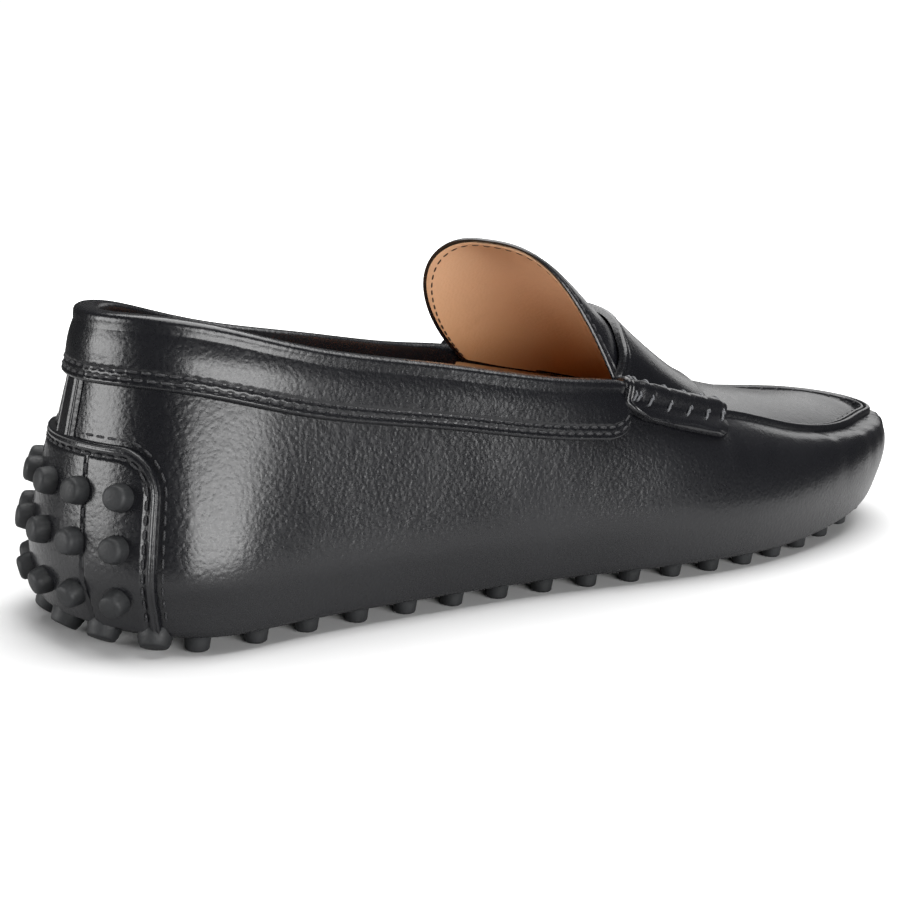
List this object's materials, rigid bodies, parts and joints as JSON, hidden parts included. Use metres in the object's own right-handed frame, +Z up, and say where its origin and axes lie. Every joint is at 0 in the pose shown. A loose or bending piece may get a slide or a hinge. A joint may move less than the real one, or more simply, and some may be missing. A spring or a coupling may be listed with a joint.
{
  "type": "driving moccasin",
  "caption": "Right driving moccasin with a sewn apron, saddle strap and open tongue, on a thin rubber sole whose round pebbles climb the heel.",
  "frame": {"origin": "middle of the shoe's footprint, on the plane that the pebbles stand on", "axes": "+X towards the toe, +Y towards the inner (medial) side of this right shoe, +Z up"},
  "size_m": [0.292, 0.0962, 0.0844],
  "materials": {
    "black_leather": "smooth polished calf with a soft gloss",
    "black_rubber": "matt moulded rubber",
    "tan_leather": "unfinished tan lining leather"
  },
  "bodies": {
    "root": {"upper": "black_leather", "apron": "black_leather", "tongue": "black_leather", "saddle_strap": "black_leather", "collar_band": "black_leather", "backstay": "black_leather", "heel_patch": "black_leather", "sole": "black_rubber", "insole": "tan_leather"}
  },
  "joints": []
}
